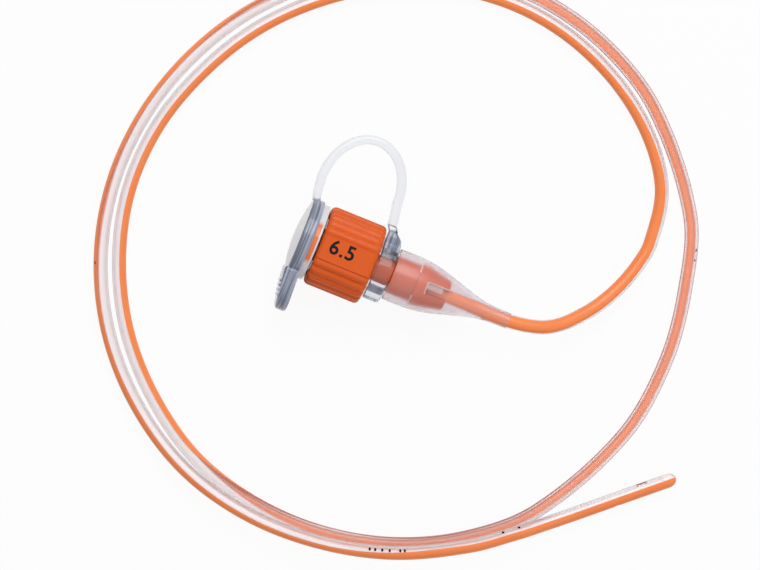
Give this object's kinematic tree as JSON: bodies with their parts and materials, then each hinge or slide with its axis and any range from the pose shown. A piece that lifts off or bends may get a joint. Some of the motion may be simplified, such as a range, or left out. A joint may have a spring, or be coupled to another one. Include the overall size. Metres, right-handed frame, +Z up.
{
  "type": "feeding tube",
  "caption": "Small-bore enteral feeding tube lying in loose turns, with a fluted connector hub, a tethered cap and a round tip with side eyes.",
  "frame": {"origin": "on the table, under the middle of the box round the hub, its cap, strap and sleeve", "axes": "+X along the hub's axis, from the cap to the sleeve; +Z up from the table; +Y to the side of the cap's strap"},
  "size_m": [0.0979, 0.0921, 0.0126],
  "materials": {
    "hub": "moulded, satin",
    "clear": "clear, polished",
    "sleeve": "frosted, soft",
    "tubing": "clear with a radiopaque stripe"
  },
  "bodies": {
    "connector": {"connector_hub": "hub", "strain_relief_sleeve": "sleeve", "feeding_tube": "tubing", "tube_tip": "tubing"},
    "tether": {"tether_ring": "clear", "tether_strap": "clear"},
    "cap": {"cap": "clear"}
  },
  "joints": [
    {"name": "tether_turn", "type": "hinge", "parent": "connector", "child": "tether", "pos_m": [-0.003, -0.00355, 0.0063], "axis": [1, 0, 0], "continuous": true},
    {"name": "cap_pull", "type": "slide", "parent": "tether", "child": "cap", "axis": [-1, 0, 0], "range_m": [0, 0.008], "deforming": ["tether_strap"]}
  ]
}
